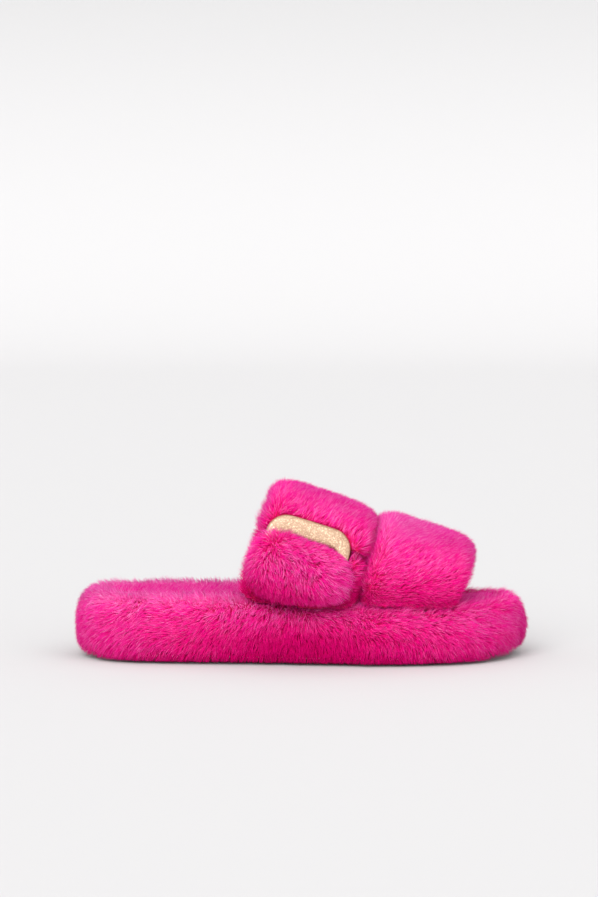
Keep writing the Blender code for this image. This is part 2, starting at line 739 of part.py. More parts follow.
def add_instep_strap(looks, wrap_room):
    across_arch = even_steps(SPLIT_Q, 1 - ARCH_START_Q, 23)
    lining_arch = across_arch + [1.001, tape_q(INSTEP, "inner")]
    core = STRAP_EDGE_T + GAP
    add_strap_layer("instep_strap_lining", INSTEP, lining_arch, plate_section(core, 0.0, LINING_T),
                    looks["lining"])
    add_strap_layer("instep_strap_foam", INSTEP, across_arch,
                    plate_section(core, LINING_T + GAP, LINING_T + GAP + STRAP_FOAM_T), looks["foam"])
    upper = add_strap_layer("instep_strap_fur", INSTEP, across_arch + [1.001, 1 - FUR_START_Q],
                            fur_section(STRAP_T, STACK_T), looks["fur"], thin_feet=True)

    rise = even_steps(ARCH_START_Q, SPLIT_Q - 0.004, 8)
    add_strap_layer("anchor_lining", INSTEP, [tape_q(INSTEP, "outer"), -0.001] + rise,
                    plate_section(core, 0.0, LINING_T), looks["lining"])
    add_strap_layer("anchor_foam", INSTEP, rise,
                    plate_section(core, LINING_T + GAP, LINING_T + GAP + STRAP_FOAM_T), looks["foam"])
    anchor = add_strap_layer("anchor_fur", INSTEP, [FUR_START_Q, -0.001] + rise,
                             fur_section(STRAP_T, STACK_T), looks["fur"])
    cut(upper, wrap_room)
    cut(anchor, wrap_room)
    lift = STRAP_T + 0.4 * MM + GAP
    pad = [(lambda width, a=share * PAD_U / 2: a, height)
           for height, shares in ((lift, even_steps(-1, 1, 4)), (lift + PAD_T, even_steps(1, -1, 4)))
           for share in shares]
    add_strap_layer("loop_pad", INSTEP, even_steps(*LOOP_Q, 4), pad, looks["tape"])
    return upper, anchor


def main():
    clear_scene()
    looks = {
        "fur": material("pink pile", PINK, 0.9),
        "foam": material("padding foam", (0.86, 0.82, 0.66), 0.95),
        "lining": material("strap lining", DEEP_PINK, 0.8),
        "gold": material("gold glitter metal", (0.72, 0.47, 0.24), 0.45, 0.8),
        "webbing": material("pink webbing", (0.60, 0.01, 0.18), 0.8),
        "tape": material("hook and loop tape", (0.55, 0.01, 0.16), 0.9),
    }
    add_sole(add_strap_slots())
    wrap_room = add_side_wrap("wrap_room", material("cutter", (0.5, 0.5, 0.5), 0.5), grown=0.4 * MM)
    add_front_strap(looks, wrap_room)
    upper, anchor = add_instep_strap(looks, wrap_room)

    bar_v = -FRAME_V / 2 + BOTTOM_BAR / 2
    buckle_pivot = add_pivot("buckle_pivot", on_buckle(0, bar_v, 0))
    tab_pivot = add_pivot("tab_pivot", on_buckle(0, TAB_TOP_V, TAB_FACE_W))
    add_buckle(looks, buckle_pivot)
    add_buckle_loop(looks)
    for room in add_buckle_clearance():
        for piece in (upper, anchor):
            cut(piece, room)
    add_tab(looks, tab_pivot)


main()
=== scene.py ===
"""Fluffy house slide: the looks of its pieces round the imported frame."""

import json
import math

import bmesh
import bpy
import numpy as np
from bpy.props import FloatProperty, FloatVectorProperty, IntProperty, PointerProperty
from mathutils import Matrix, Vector
from mathutils.bvhtree import BVHTree
from mathutils.kdtree import KDTree


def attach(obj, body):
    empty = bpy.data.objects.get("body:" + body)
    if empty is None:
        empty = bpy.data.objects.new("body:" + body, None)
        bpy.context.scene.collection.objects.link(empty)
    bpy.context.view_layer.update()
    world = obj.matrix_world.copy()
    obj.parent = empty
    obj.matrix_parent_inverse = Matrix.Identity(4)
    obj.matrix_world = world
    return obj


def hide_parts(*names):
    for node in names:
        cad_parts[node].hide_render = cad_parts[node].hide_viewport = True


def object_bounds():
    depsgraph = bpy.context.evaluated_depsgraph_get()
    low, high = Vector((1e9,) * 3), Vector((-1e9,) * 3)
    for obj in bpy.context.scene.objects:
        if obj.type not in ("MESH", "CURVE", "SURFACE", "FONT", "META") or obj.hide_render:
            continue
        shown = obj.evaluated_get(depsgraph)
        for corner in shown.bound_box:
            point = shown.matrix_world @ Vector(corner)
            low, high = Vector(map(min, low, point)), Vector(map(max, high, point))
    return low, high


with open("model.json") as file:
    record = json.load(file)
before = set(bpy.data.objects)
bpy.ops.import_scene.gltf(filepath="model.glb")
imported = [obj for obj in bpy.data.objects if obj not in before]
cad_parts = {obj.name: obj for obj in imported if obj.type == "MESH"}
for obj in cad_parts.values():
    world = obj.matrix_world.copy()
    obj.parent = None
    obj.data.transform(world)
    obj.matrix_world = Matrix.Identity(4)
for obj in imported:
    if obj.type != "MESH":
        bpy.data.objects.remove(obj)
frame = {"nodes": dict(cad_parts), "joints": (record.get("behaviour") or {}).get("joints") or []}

bl_info = {
    "name": "Fluffy House Slide",
    "version": (1, 0, 0),
    "blender": (4, 5, 0),
    "location": "View3D > Sidebar > Slide",
    "description": "Models the pile fabric, buckle and sole of a fluffy house slide",
    "category": "Object",
}

MM = 0.001
CAD_BOX = [list(corner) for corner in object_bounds()]
LOW, HIGH = (Vector(corner) for corner in CAD_BOX)
NODES = frame["nodes"]
JOINTS = {joint["name"]: joint for joint in frame["joints"]}

TUFT_LIMIT = 19500       # tufts in one piece, so that it stays under 200,000 triangles
HIDDEN_WITHIN = 2.4 * MM  # tufts nearer than this to a hidden neighbour are left out
BROAD_WAVE = 14 * MM     # distances over which the comb direction wanders
FINE_WAVE = 5 * MM
GUARD_SHARE = 0.05       # a few longer and thinner hairs stand out of the pile
GUARD_LENGTH = 1.16
GUARD_WIDTH = 0.6
SEWN_WITHIN = 2.6 * MM   # a pad is held where it lies this near to its lining
CLOTH_FRAMES = 20
FRAME_CORNER = 12 * MM   # corner radius of the buckle frame
CUT_SHARE = 0.45         # what is left of a tuft that is pressed down by the frame
RIM_TOP = 35 * MM        # height of the sole's rim
FLOOR_GAP = 1.5 * MM     # the lowest that a tuft may reach


# ---------------------------------------------------------------- sizes and colours

def length(name, description, default):
    return FloatProperty(name=name, description=description, default=default, unit="LENGTH")


def colour(name, description, default):
    return FloatVectorProperty(name=name, description=description, default=default, size=3,
                               subtype="COLOR", min=0.0, max=1.0)


class SlidePile(bpy.types.PropertyGroup):
    """Pile fabric."""
    sole_length: length("Sole pile", "Length of the pile on the side of the sole", 9.0 * MM)
    strap_length: length("Strap pile", "Length of the pile on both straps", 8.0 * MM)
    tab_length: length("Tab pile", "Length of the pile on the free tab", 9.0 * MM)
    footbed_length: length("Footbed pile", "Length of the pile under the foot", 7.5 * MM)
    tuft_width: length("Tuft width", "Width of one tuft at its root", 0.43 * MM)
    density: FloatProperty(name="Density", description="Tufts on a square millimetre", default=3.05)
    # Root and middle: painted shade deep in the pile. Pale: random paler locks and painted highlights.
    root: colour("Root", "Colour deep in the pile", (0.50, 0.0, 0.085))
    middle: colour("Middle", "Colour half way up the pile", (0.88, 0.0, 0.215))
    tip: colour("Tip", "Colour at the ends of the hairs", (0.95, 0.018, 0.40))
    pale: colour("Pale", "Colour of the palest locks", (0.98, 0.30, 0.66))
    backing: colour("Backing", "Colour of the knitted backing", (0.70, 0.0, 0.09))
    seed: IntProperty(name="Seed", description="Start of the random order", default=11)


class SlideTrim(bpy.types.PropertyGroup):
    """Buckle, linings and sole."""
    # gold_shade and gold_glint are shaded and lit copies of the gold: painted shade and painted glints.
    gold: colour("Gold", "Main colour of the glitter coat", (0.38, 0.235, 0.145))
    gold_glint: colour("Gold light", "Colour of the bright flakes", (0.56, 0.40, 0.27))
    gold_shade: colour("Gold dark", "Colour between the flakes", (0.24, 0.14, 0.075))
    lining: colour("Lining", "Colour of the strap linings", (0.62, 0.012, 0.19))
    nap: colour("Nap", "Colour where a lining is worn pale", (0.80, 0.06, 0.33))
    tape: colour("Tape", "Colour of the tips of the hook and loop tape", (0.78, 0.04, 0.30))
    rubber: colour("Rubber", "Colour of the outsole", (0.030, 0.024, 0.026))
    dust: colour("Dust", "Colour of the dust on the outsole", (0.11, 0.09, 0.095))
    foam: colour("Foam", "Colour of the padding foam", (0.84, 0.79, 0.62))
    midsole: colour("Midsole", "Colour of the midsole foam", (0.78, 0.76, 0.72))
    board: colour("Board", "Colour of the insole board", (0.40, 0.29, 0.18))
    flake: length("Flake", "Size of one glitter flake", 0.55 * MM)


class SlideStage(bpy.types.PropertyGroup):
    """Floor, lights and camera."""
    ground: colour("Ground", "Colour of the floor", (0.610, 0.603, 0.607))
    backdrop: colour("Backdrop", "Colour of the paper behind", (0.350, 0.348, 0.349))
    sky: FloatProperty(name="Sky", description="Strength of the even light all round", default=0.95)
    key: FloatProperty(name="Key", description="Strength of the main light", default=2.35)
    fill: FloatProperty(name="Fill", description="Strength of the light from the other side",
                        default=0.9)
    distance: length("Distance", "From the camera to the slide", 2.5)
    elevation: FloatProperty(name="Elevation", description="Camera height as an angle",
                             default=math.radians(5.2), subtype="ANGLE")
    view_height: length("View height", "Height of what the camera takes in", 0.538)
    aim_height: length("Aim height", "Height that the camera looks at", 0.1247)


# ---------------------------------------------------------------- shader nodes

class Wire:
    """A shader value; arithmetic on it adds Math nodes."""

    def __init__(self, sheet, socket):
        self.sheet = sheet
        self.socket = socket

    def math(self, operation, *values):
        return self.sheet.node("ShaderNodeMath", {"operation": operation}, *values)

    def __add__(self, other):
        return self.math("ADD", self, other)

    def __sub__(self, other):
        return self.math("SUBTRACT", self, other)

    def __rsub__(self, other):
        return self.math("SUBTRACT", other, self)

    def __mul__(self, other):
        return self.math("MULTIPLY", self, other)

    def __gt__(self, other):
        return self.math("GREATER_THAN", self, other)

    __radd__ = __add__
    __rmul__ = __mul__


class Sheet:
    """The node tree of one material."""

    def __init__(self, name, roughness, metallic=0.0):
        self.material = bpy.data.materials.new(name)
        self.material.use_nodes = True
        self.tree = self.material.node_tree
        self.shader = self.tree.nodes["Principled BSDF"]
        self.shader.inputs["Roughness"].default_value = roughness
        self.shader.inputs["Metallic"].default_value = metallic

    def node(self, kind, settings=None, *values, output=0, **named):
        """Adds a node, with its settings first and then its inputs by order or by name."""
        made = self.tree.nodes.new(kind)
        for key, value in (settings or {}).items():
            if key == "stops":
                self.fill_ramp(made.color_ramp, value)
            else:
                setattr(made, key, value)
        for index, value in enumerate(values):
            self.feed(made.inputs[index], value)
        for key, value in named.items():
            self.feed(made.inputs[key.replace("_", " ")], value)
        return Wire(self, made.outputs[output])

    def feed(self, socket, value):
        if isinstance(value, Wire):
            self.tree.links.new(value.socket, socket)
        elif value is not None:
            socket.default_value = value

    @staticmethod
    def fill_ramp(ramp, stops):
        while len(ramp.elements) < len(stops):
            ramp.elements.new(1.0)
        for element, (place, shade) in zip(ramp.elements, stops):
            element.position = place
            element.color = (*shade, 1.0)

    def place(self):
        return self.node("ShaderNodeTexCoord", output="Object")

    def noise(self, scale, detail=3.0, roughness=0.55, at=None):
        return self.node("ShaderNodeTexNoise", None, Vector=at or self.place(), Scale=scale,
                         Detail=detail, Roughness=roughness)

    def blend(self, factor, first, second):
        """Colour mix; the node's number and vector sockets come before its colours."""
        unused = [None] * 5
        return self.node("ShaderNodeMix", {"data_type": "RGBA"}, factor, *unused, rgba(first),
                         rgba(second), output=2)

    def bump(self, height, strength, distance):
        return self.node("ShaderNodeBump", None, Strength=strength, Distance=distance, Height=height)

    def out(self, **inputs):
        for key, value in inputs.items():
            self.feed(self.shader.inputs[key.replace("_", " ")], value)
        return self.material


def rgba(value):
    return value if value is None or isinstance(value, Wire) else (*value, 1.0)


def darker(base, share):
    return tuple(share * part for part in base)


def own_attribute(sheet, name):
    return sheet.node("ShaderNodeAttribute", {"attribute_name": name}, output="Fac")


def pile_material(pile):
    """Hair: dark and saturated at the root from painted shade, paler at the tip, with paler locks
    here and there, partly random and partly painted highlights.
    """
    sheet = Sheet("plush_pile", roughness=0.52)
    along = own_attribute(sheet, "along")
    # lock: random paler locks plus painted highlights (glinting strands and painted light on rims)
    lock = own_attribute(sheet, "lock")
    drift = sheet.noise(45.0, detail=2.0)
    # Painted shade: the root and middle colours darken each tuft towards its root
    lower = sheet.blend(along * 2.0, pile.root, pile.middle)
    shade = sheet.blend((along - 0.45) * 1.55 + (drift - 0.5) * 0.5, lower, pile.tip)
    # Painted highlights: the pale colour where lock is high
    paler = sheet.blend(lock * along, shade, pile.pale)
    sheet.shader.inputs["Specular IOR Level"].default_value = 0.04
    return sheet.out(Base_Color=paler, Roughness=0.62 - lock * 0.22)


def backing_material(pile):
    """Knitted ground cloth under the pile."""
    sheet = Sheet("plush_backing", roughness=0.9)
    knit = sheet.noise(1400.0, detail=1.0)
    shade = sheet.blend(knit, pile.backing, pile.root)
    return sheet.out(Base_Color=shade, Normal=sheet.bump(knit, 0.5, 0.3 * MM))


def lining_material(trim):
    """Brushed tricot: fine ribs with a soft nap."""
    sheet = Sheet("brushed_tricot", roughness=0.75)
    ribs = sheet.node("ShaderNodeTexWave", {"wave_type": "BANDS", "bands_direction": "X"},
                      Vector=sheet.place(), Scale=420.0, Distortion=1.2, Detail=1.0)
    nap = sheet.noise(900.0, detail=3.0)
    worn = sheet.noise(38.0, detail=3.0)
    shade = sheet.blend(ribs * 0.35 + nap * 0.4, trim.lining, darker(trim.lining, 0.45))
    shade = sheet.blend(worn * 0.35, shade, trim.nap)
    sheet.shader.inputs["Sheen Weight"].default_value = 0.35
    return sheet.out(Base_Color=shade, Roughness=0.66 + nap * 0.25,
                     Normal=sheet.bump(ribs * 0.6 + nap * 0.4, 0.45, 0.25 * MM))


def webbing_material(trim):
    """Plain woven tape."""
    sheet = Sheet("pink_webbing", roughness=0.8)
    warp = sheet.node("ShaderNodeTexWave", {"bands_direction": "X"}, Vector=sheet.place(), Scale=260.0)
    weft = sheet.node("ShaderNodeTexWave", {"bands_direction": "Z"}, Vector=sheet.place(), Scale=260.0)
    weave = warp * weft
    shade = sheet.blend(weave, darker(trim.lining, 0.4), trim.lining)
    return sheet.out(Base_Color=shade, Normal=sheet.bump(weave, 0.7, 0.3 * MM))


def tape_material(trim, name, scale, depth):
    """Hook or loop tape: a field of small points or tangled loops."""
    sheet = Sheet(name, roughness=0.7)
    cells = sheet.node("ShaderNodeTexVoronoi", {"feature": "F1"}, Vector=sheet.place(), Scale=scale)
    tangle = sheet.noise(scale * 1.7, detail=2.0)
    relief = (1.0 - cells) * 0.7 + tangle * 0.3
    shade = sheet.blend(relief, darker(trim.lining, 0.35), trim.tape)
    return sheet.out(Base_Color=shade, Normal=sheet.bump(relief, 0.9, depth))


def gold_material(trim):
    """Fine glitter: flakes that each lie at their own angle in a clear coat. Each flake's colour
    runs from a painted shade to the gold; the brightest flakes and broad patches take the
    painted glint colour.
    """
    sheet = Sheet("glitter_coat", roughness=0.42, metallic=0.55)
    place = sheet.place()
    flakes = sheet.node("ShaderNodeTexVoronoi", {"feature": "F1"}, Vector=place,
                        Scale=1.0 / trim.flake, output="Color")
    split = sheet.node("ShaderNodeSeparateColor", None, flakes)
    other = sheet.node("ShaderNodeSeparateColor", None, flakes, output=1)
    patches = sheet.noise(120.0, detail=2.0)
    # Painted shade: each flake's colour runs from the shaded copy to the gold.
    shade = sheet.blend(split, trim.gold_shade, trim.gold)
    # Painted glints: the brightest flakes, and broad patches, take the lit copy.
    shade = sheet.blend((other > 0.72) * 0.8, shade, trim.gold_glint)
    shade = sheet.blend(patches * 0.35, shade, trim.gold_glint)
    sheet.shader.inputs["Coat Weight"].default_value = 0.25
    sheet.shader.inputs["Coat Roughness"].default_value = 0.2
    return sheet.out(Base_Color=shade, Roughness=0.28 + split * 0.4, Metallic=0.35 + other * 0.45,
                     Normal=sheet.bump(split, 0.55, 0.12 * MM))


def rubber_material(trim):
    """Moulded rubber with a fine grain and a little dust."""
    sheet = Sheet("grained_rubber", roughness=0.7)
    grain = sheet.noise(900.0, detail=3.0)
    dust = sheet.noise(60.0, detail=5.0)
    shade = sheet.blend((dust - 0.45) * 0.5, trim.rubber, trim.dust)
    return sheet.out(Base_Color=shade, Roughness=0.55 + grain * 0.3,
                     Normal=sheet.bump(grain, 0.35, 0.2 * MM))


def foam_material(name, base, cell):
    """Cut foam: open cells as small dark pits."""
    sheet = Sheet(name, roughness=0.92)
    cells = sheet.node("ShaderNodeTexVoronoi", {"feature": "F1"}, Vector=sheet.place(),
                       Scale=1.0 / cell)
    tone = sheet.noise(40.0, detail=2.0)
    shade = sheet.blend(cells * 0.8 + tone * 0.2, base, darker(base, 0.62))
    return sheet.out(Base_Color=shade, Normal=sheet.bump(cells, 0.6, cell * 0.5))


def board_material(trim):
    """Pressed fibre board with short flecks."""
    sheet = Sheet("fibre_board", roughness=0.85)
    stretched = sheet.node("ShaderNodeMapping", None, sheet.place(), Scale=(1.0, 4.0, 4.0))
    fibre = sheet.noise(500.0, detail=4.0, at=stretched)
    shade = sheet.blend(fibre, darker(trim.board, 0.55), trim.board)
    return sheet.out(Base_Color=shade, Normal=sheet.bump(fibre, 0.3, 0.15 * MM))


# ---------------------------------------------------------------- mesh tools

def only(*objects):
    """Select these objects and nothing else."""
    if bpy.context.object is not None and bpy.context.object.mode != "OBJECT":
        bpy.ops.object.mode_set(mode="OBJECT")
    bpy.ops.object.select_all(action="DESELECT")
    for thing in objects:
        thing.select_set(True)
    bpy.context.view_layer.objects.active = objects[0]


def copy_of_nodes(name, nodes):
    """One new object with the merged meshes of these CAD nodes."""
    copies = []
    for node in nodes:
        mesh = NODES[node].data.copy()
        mesh.materials.clear()
        copies.append(bpy.data.objects.new(name, mesh))
        bpy.context.scene.collection.objects.link(copies[-1])
    only(*copies)
    if len(copies) > 1:
        bpy.ops.object.join()
    made = bpy.context.object
    made.name = name
    made.data.name = name
    bpy.ops.object.mode_set(mode="EDIT")
    bpy.ops.mesh.select_all(action="SELECT")
    bpy.ops.mesh.remove_doubles(threshold=0.02 * MM)
    bpy.ops.object.mode_set(mode="OBJECT")
    return made


def apply(piece, kind, **settings):
    """Adds one modifier with these settings and applies it."""
    change = piece.modifiers.new(kind.lower(), kind)
    for key, value in settings.items():
        setattr(change, key, value)
    only(piece)
    bpy.ops.object.modifier_apply(modifier=change.name)


def points_of(mesh):
    """The mesh's points as rows of x, y and z."""
    points = np.empty(len(mesh.vertices) * 3, np.float32)
    mesh.vertices.foreach_get("co", points)
    return points.reshape(-1, 3).astype(np.float64)


def normals_of(mesh):
    normals = np.empty(len(mesh.vertices) * 3, np.float32)
    mesh.vertex_normals.foreach_get("vector", normals)
    return normals.reshape(-1, 3).astype(np.float64)


def set_points(mesh, points):
    mesh.vertices.foreach_set("co", points.astype(np.float32).ravel())
    mesh.update()


def tree_of(nodes):
    """Search tree over the faces of these CAD nodes."""
    points, faces = [], []
    for node in nodes:
        mesh = NODES[node].data
        first = len(points)
        points += [vertex.co.copy() for vertex in mesh.vertices]
        faces += [[first + index for index in face.vertices] for face in mesh.polygons]
    return BVHTree.FromPolygons(points, faces)


def distances(tree, points):
    return np.array([tree.find_nearest(Vector(point))[3] for point in points])


def finish_mesh(piece, surface):
    """Gives a piece its one material and smooth shading, and leaves it selected."""
    piece.data.materials.clear()
    piece.data.materials.append(surface)
    only(piece)
    bpy.ops.object.shade_smooth()


def inflate(piece, held_by, pressure, cap):
    """Puffs the pad up as cloth under pressure; it stays sewn where it meets held_by."""
    mesh = piece.data
    before = points_of(mesh)
    near = distances(tree_of(held_by), before) < SEWN_WITHIN
    sewn = piece.vertex_groups.new(name="sewn")
    sewn.add([int(index) for index in np.nonzero(near)[0]], 1.0, "REPLACE")
    cloth = piece.modifiers.new("cloth", "CLOTH")
    cloth.settings.vertex_group_mass = "sewn"
    cloth.settings.use_pressure = True
    cloth.settings.uniform_pressure_force = pressure
    cloth.settings.tension_stiffness = 12
    cloth.settings.compression_stiffness = 12
    cloth.settings.bending_stiffness = 0.6
    cloth.settings.effector_weights.gravity = 0.0
    cloth.collision_settings.use_collision = False
    cloth.point_cache.frame_start = 1
    cloth.point_cache.frame_end = CLOTH_FRAMES
    for step in range(1, CLOTH_FRAMES + 1):
        bpy.context.scene.frame_set(step)
    settled = piece.evaluated_get(bpy.context.evaluated_depsgraph_get()).to_mesh()
    after = points_of(settled)
    piece.modifiers.remove(cloth)
    piece.vertex_groups.remove(sewn)
    bpy.context.scene.frame_set(1)
    shift = after - before
    far = np.linalg.norm(shift, axis=1, keepdims=True)
    shift *= np.minimum(1.0, cap / np.maximum(far, 1e-9))
    set_points(mesh, before + shift)


def make_pad(name, nodes, surface, shrink, held_by=(), voxel=3.0 * MM, pressure=3.0, cap=3.0 * MM):
    """A padded skin in the shape of these CAD nodes, drawn in by shrink to leave room for pile."""
    pad = copy_of_nodes(name, nodes)
    apply(pad, "REMESH", mode="VOXEL", voxel_size=voxel)
    apply(pad, "SMOOTH", factor=0.5, iterations=6)
    if held_by:
        inflate(pad, held_by, pressure, cap)
    set_points(pad.data, points_of(pad.data) - normals_of(pad.data) * shrink)
    apply(pad, "SMOOTH", factor=0.5, iterations=3)
    apply(pad, "SUBSURF", levels=1, render_levels=1)
    finish_mesh(pad, surface)
    return pad


# ---------------------------------------------------------------- pile

class Wander:
    """Smooth random vectors over space, the same each run."""

    SIZE = 24

    def __init__(self, seed, scale):
        random = np.random.default_rng(seed)
        self.values = random.uniform(-1.0, 1.0, (self.SIZE, self.SIZE, self.SIZE, 3))
        self.scale = scale

    def __call__(self, points):
        place = points / self.scale
        cell = np.floor(place).astype(int)
        share = place - cell
        share = share * share * (3.0 - 2.0 * share)
        total = np.zeros((len(points), 3))
        for corner in range(8):
            step = np.array([corner & 1, corner >> 1 & 1, corner >> 2 & 1])
            weight = np.prod(np.where(step, share, 1.0 - share), axis=1)
            index = (cell + step) % self.SIZE
            total += self.values[index[:, 0], index[:, 1], index[:, 2]] * weight[:, None]
        return total


def unit(vectors):
    """The vectors at length 1."""
    return vectors / np.maximum(np.linalg.norm(vectors, axis=1, keepdims=True), 1e-12)


def ramp(values, low, high):
    """Rises smoothly from 0 at low to 1 at high."""
    share = np.clip((values - low) / (high - low), 0.0, 1.0)
    return share * share * (3.0 - 2.0 * share)


def scatter(piece, density, random):
    """Random points on a mesh with its smooth normals there."""
    mesh = piece.data
    mesh.calc_loop_triangles()
    corners = np.empty(len(mesh.loop_triangles) * 3, np.int32)
    mesh.loop_triangles.foreach_get("vertices", corners)
    corners = corners.reshape(-1, 3)
    points, normals = points_of(mesh), normals_of(mesh)
    a, b, c = (points[corners[:, side]] for side in range(3))
    areas = np.linalg.norm(np.cross(b - a, c - a), axis=1) / 2
    count = int(areas.sum() * density * 1e6)
    chosen = np.searchsorted(np.cumsum(areas), random.uniform(0, areas.sum(), count))
    chosen = np.minimum(chosen, len(corners) - 1)
    u, v = np.sqrt(random.uniform(size=count)), random.uniform(size=count)
    weights = np.stack([1 - u, u * (1 - v), u * v], axis=1)[:, :, None]
    picked = corners[chosen]
    return (points[picked] * weights).sum(axis=1), unit((normals[picked] * weights).sum(axis=1))


def gather(roots, ends, spacing, pull, random):
    """Draws the ends together into locks about spacing wide; returns them and a lock number."""
    chosen = random.permutation(len(roots))
    centres, taken = [], set()
    for index in chosen:
        cell = tuple((roots[index] // spacing).astype(int))
        if cell not in taken:
            taken.add(cell)
            centres.append(index)
    tree = KDTree(len(centres))
    for number, index in enumerate(centres):
        tree.insert(Vector(roots[index]), number)
    tree.balance()
    number = np.array([tree.find(Vector(root))[1] for root in roots])
    leader = np.array(centres)[number]
    amount = (pull * random.uniform(0.5, 1.0, len(roots)))[:, None]
    return ends + (ends[leader] - ends) * amount, number


def grow(name, pad, body, surface, pile, comb, reach, density=1.0, lean=0.55, hidden_by=(),
         spacing=3.2 * MM, pull=0.45, ruffle=0.35, width=1.0, trim=None, seed=0, keep=None,
         shape=None, deep=None):
    """Covers a pad with tufts.

    comb gives their direction over the surface at each root, shape their share of the full
    reach and deep the painted shade that darkens them (below zero, painted light that makes
    them paler). Tufts whose roots lie at the nodes in hidden_by, or that keep or trim leaves
    out, are not made.
    """
    random = np.random.default_rng(pile.seed + seed)
    roots, normals = scatter(pad, pile.density * density, random)
    if keep is not None:
        chosen = keep(roots, normals)
        roots, normals = roots[chosen], normals[chosen]
    if hidden_by:
        free = distances(tree_of(hidden_by), roots + normals * 1.0 * MM) > HIDDEN_WITHIN
        roots, normals = roots[free], normals[free]
    count = len(roots)
    broad = Wander(pile.seed + seed + 1, BROAD_WAVE)(roots)
    waves = broad + 0.6 * Wander(pile.seed + seed + 2, FINE_WAVE)(roots)
    along = comb(roots, normals) + waves * ruffle
    along -= normals * (along * normals).sum(axis=1, keepdims=True)
    along = unit(along)
    stray = random.normal(0.0, 0.16, (count, 3))
    tilt = np.clip(lean + 0.12 * waves[:, :1] + random.normal(0.0, 0.07, (count, 1)), 0.05, 0.95)
    heading = unit(normals * (1.0 - tilt) + along * tilt + stray)
    sprout = unit(normals * (1.25 - tilt) + along * tilt * 0.55 + stray * 0.6)
    guard = random.uniform(size=count) < GUARD_SHARE
    size = reach * random.uniform(0.72, 1.06, count) * np.where(guard, GUARD_LENGTH, 1.0)
    size *= 1.0 + 0.12 * waves[:, 1]
    if shape is not None:
        size *= shape(roots)
    middles = roots + sprout * (size * 0.5)[:, None]
    ends = middles + unit(heading + along * 0.25) * (size * 0.55)[:, None]
    ends, number = gather(roots, ends, spacing, pull, random)
    if trim is not None:
        roots, middles, ends, kept = trim(roots, middles, ends)
        normals, along, number, guard = normals[kept], along[kept], number[kept], guard[kept]
    count = len(roots)
    lock_tone = random.uniform(0.0, 1.0, number.max() + 1)[number]
    # lock_tone gives each lock a random paler tone; the rare pale strands are painted highlights
    lock = np.clip(0.22 * lock_tone ** 2 + 1.1 * random.uniform(0.0, 1.0, count) ** 7, 0.0, 1.0)
    # depth: a small random tone shift, less the painted shade from deep (negative deep paints light)
    depth = random.uniform(-0.10, 0.10, count) - (deep(roots) * 0.6 if deep else 0.0)
    # Painted shade has fewer pale strands; painted light on rims and strap tops makes tufts paler
    lock = lock * np.clip(1.0 + 2.0 * depth, 0.0, 1.0) + 0.8 * np.clip(depth - 0.1, 0.0, 1.0)
    wide = pile.tuft_width * width * np.where(guard, GUARD_WIDTH, 1.0)
    wide *= random.uniform(0.75, 1.2, count)
    order = np.argsort(roots[:, 0], kind="stable")
    parts = max(1, math.ceil(count / TUFT_LIMIT))
    for part, share in enumerate(np.array_split(order, parts)):
        label = name if parts == 1 else f"{name}_{part + 1}"
        piece = tuft_mesh(label, *(values[share] for values in (roots, middles, ends, normals, along,
                                                                wide, lock, depth)))
        piece.data.materials.append(surface)
        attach(piece, body)


def tuft_mesh(name, roots, middles, ends, normals, along, wide, lock, depth):
    """Three-sided spikes: a ring at the root, a ring half way, and a tip."""
    count = len(roots)
    side = unit(np.cross(normals, along))
    front = np.cross(normals, side)
    points = np.empty((count, 7, 3))
    shading = np.empty((count, 7, 3))
    shading[:, 6] = unit(normals + 0.8 * unit(ends - middles))
    for corner in range(3):
        angle = 2 * math.pi * corner / 3
        arm = side * math.cos(angle) + front * math.sin(angle)
        points[:, corner] = roots + arm * (wide * 0.5)[:, None]
        points[:, corner + 3] = middles + arm * (wide * 0.36)[:, None]
        shading[:, corner] = unit(normals + 0.7 * arm)
        shading[:, corner + 3] = unit(normals + 0.4 * unit(ends - roots) + 0.8 * arm)
    points[:, 6] = ends
    faces = np.array([[0, 1, 4], [0, 4, 3], [1, 2, 5], [1, 5, 4], [2, 0, 3], [2, 3, 5],
                      [3, 4, 6], [4, 5, 6], [5, 3, 6], [0, 2, 1]])
    corners = (np.arange(count)[:, None, None] * 7 + faces[None]).reshape(-1, 3)
    mesh = bpy.data.meshes.new(name)
    mesh.vertices.add(count * 7)
    mesh.vertices.foreach_set("co", points.astype(np.float32).ravel())
    mesh.loops.add(corners.size)
    mesh.loops.foreach_set("vertex_index", corners.astype(np.int32).ravel())
    mesh.polygons.add(len(corners))
    mesh.polygons.foreach_set("loop_start", np.arange(len(corners), dtype=np.int32) * 3)
    mesh.update(calc_edges=True)
    # along runs from the root to the tip, shifted by depth, which carries painted shade and light
    height = np.clip(np.array([0, 0, 0, 0.55, 0.55, 0.55, 1.0])[None] + depth[:, None], 0.0, 1.0)
    for label, values in (("along", height), ("lock", np.repeat(lock[:, None], 7, axis=1))):
        layer = mesh.attributes.new(label, "FLOAT", "POINT")
        layer.data.foreach_set("value", values.astype(np.float32).ravel())
    mesh.shade_smooth()
    mesh.normals_split_custom_set_from_vertices(shading.reshape(-1, 3).tolist())
    piece = bpy.data.objects.new(name, mesh)
    bpy.context.scene.collection.objects.link(piece)
    return piece


def steady(x, y, z):
    """Comb in one direction all over."""
    return lambda roots, normals: np.tile(np.array([x, y, z], float), (len(roots), 1))


# ---------------------------------------------------------------- buckle axes

